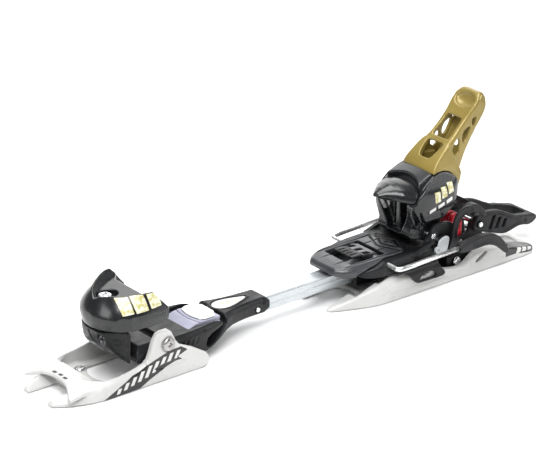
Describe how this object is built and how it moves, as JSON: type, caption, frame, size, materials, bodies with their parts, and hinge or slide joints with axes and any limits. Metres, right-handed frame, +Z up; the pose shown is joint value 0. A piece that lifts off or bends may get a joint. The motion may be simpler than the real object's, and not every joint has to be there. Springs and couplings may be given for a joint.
{
  "type": "ski touring binding",
  "caption": "Frame-style ski touring binding: toe cup and step-in heel on a bar that pivots on a front base, with a brake and a walk lock on a rear base.",
  "frame": {"origin": "on the ski top surface under the middle of the overall length, on the centre line", "axes": "+X towards the ski tip, +Y towards the left of the ski, +Z up away from the ski"},
  "size_m": [0.538, 0.1012, 0.1578],
  "materials": {
    "alloy": "anodised satin",
    "badge_foil": "printed foil",
    "black_gloss": "gloss",
    "black_matte": "moulded matte",
    "gold_paint": "satin",
    "grey_plastic": "matte",
    "red_plastic": "gloss",
    "smoke_window": "clear smoke",
    "spring_steel": "dark oiled",
    "steel": "zinc plated",
    "white_plastic": "satin"
  },
  "bodies": {
    "ski_base": {"front_base": "white_plastic", "rear_base": "white_plastic", "front_screw_1": "steel", "front_screw_2": "steel", "front_screw_3": "steel", "front_screw_4": "steel", "rear_screw_1": "steel", "rear_screw_2": "steel", "rear_screw_3": "steel", "rear_screw_4": "steel", "pivot_bolt_left": "steel", "pivot_bolt_right": "steel", "lock_bracket": "black_matte", "bracket_screw_left": "steel", "bracket_screw_right": "steel", "claw_pin": "steel", "lock_lever_pin": "steel"},
    "frame": {"carrier_frame": "black_matte", "badge_plate": "badge_foil", "bar": "alloy", "bar_pin": "steel", "toe_housing": "black_matte", "release_post": "steel", "release_screw": "steel", "release_spring": "spring_steel", "scale_window": "smoke_window"},
    "toe_wings": {"toe_shell": "black_gloss", "toe_height_screw": "steel"},
    "sole_slide": {"slide_block": "grey_plastic", "slide_plate": "steel"},
    "heel_unit": {"heel_housing": "black_matte", "heel_pad": "black_gloss", "heel_foot_left": "black_matte", "heel_foot_right": "black_matte", "side_plate_left": "black_matte", "side_plate_right": "black_matte", "rail_pin_left": "steel", "rail_pin_right": "steel", "rear_guard": "black_matte", "heel_axle": "steel", "length_screw": "steel"},
    "cup": {"heel_cup": "black_gloss", "heel_spring": "spring_steel", "heel_screw": "steel", "heel_lever_pin": "steel"},
    "lever": {"heel_lever": "gold_paint"},
    "brake": {"brake_wire": "steel", "brake_pedal": "steel", "brake_shoe_left": "black_matte", "brake_shoe_right": "black_matte", "brake_spring_left": "spring_steel", "brake_spring_right": "spring_steel"},
    "claw": {"lock_claw": "red_plastic"},
    "lock": {"lock_lever": "black_matte"}
  },
  "joints": [
    {"name": "touring_pivot", "type": "hinge", "parent": "ski_base", "child": "frame", "pos_m": [0.1642, 0, 0.032], "axis": [0, 1, 0], "range_deg": [0, 39]},
    {"name": "toe_release", "type": "hinge", "parent": "frame", "child": "toe_wings", "pos_m": [0.2, 0, 0.055], "axis": [0, 0, 1], "range_deg": [-14, 14], "stiffness_Nm_per_rad": 6},
    {"name": "sole_slide", "type": "slide", "parent": "frame", "child": "sole_slide", "axis": [0, 1, 0], "range_m": [-0.0045, 0.0045], "stiffness_N_per_m": 400},
    {"name": "heel_length", "type": "slide", "parent": "frame", "child": "heel_unit", "axis": [1, 0, 0], "range_m": [-0.007, 0.007]},
    {"name": "heel_cup", "type": "hinge", "parent": "heel_unit", "child": "cup", "pos_m": [-0.131, 0, 0.045], "axis": [0, 1, 0], "range_deg": [-18, 0]},
    {"name": "heel_lever", "type": "hinge", "parent": "cup", "child": "lever", "pos_m": [-0.146, 0, 0.079], "axis": [0, 1, 0], "range_deg": [-30, 0], "stiffness_Nm_per_rad": 2, "springref_deg": 17.19},
    {"name": "brake_swing", "type": "hinge", "parent": "heel_unit", "child": "brake", "pos_m": [-0.078, 0, 0.033], "axis": [0, 1, 0], "range_deg": [-68, 0], "stiffness_Nm_per_rad": 1, "springref_deg": 17.19},
    {"name": "lock_lever", "type": "hinge", "parent": "ski_base", "child": "lock", "pos_m": [-0.195, 0, 0.036], "axis": [0, 1, 0], "range_deg": [0, 30]},
    {"name": "lock_claw", "type": "hinge", "parent": "ski_base", "child": "claw", "pos_m": [-0.179, 0, 0.021], "axis": [0, 1, 0], "range_deg": [-24, 0]}
  ],
  "couplings": [
    {"joint": "heel_cup", "follows": "heel_lever", "ratio": 0.6},
    {"joint": "lock_claw", "follows": "lock_lever", "ratio": -0.8}
  ]
}
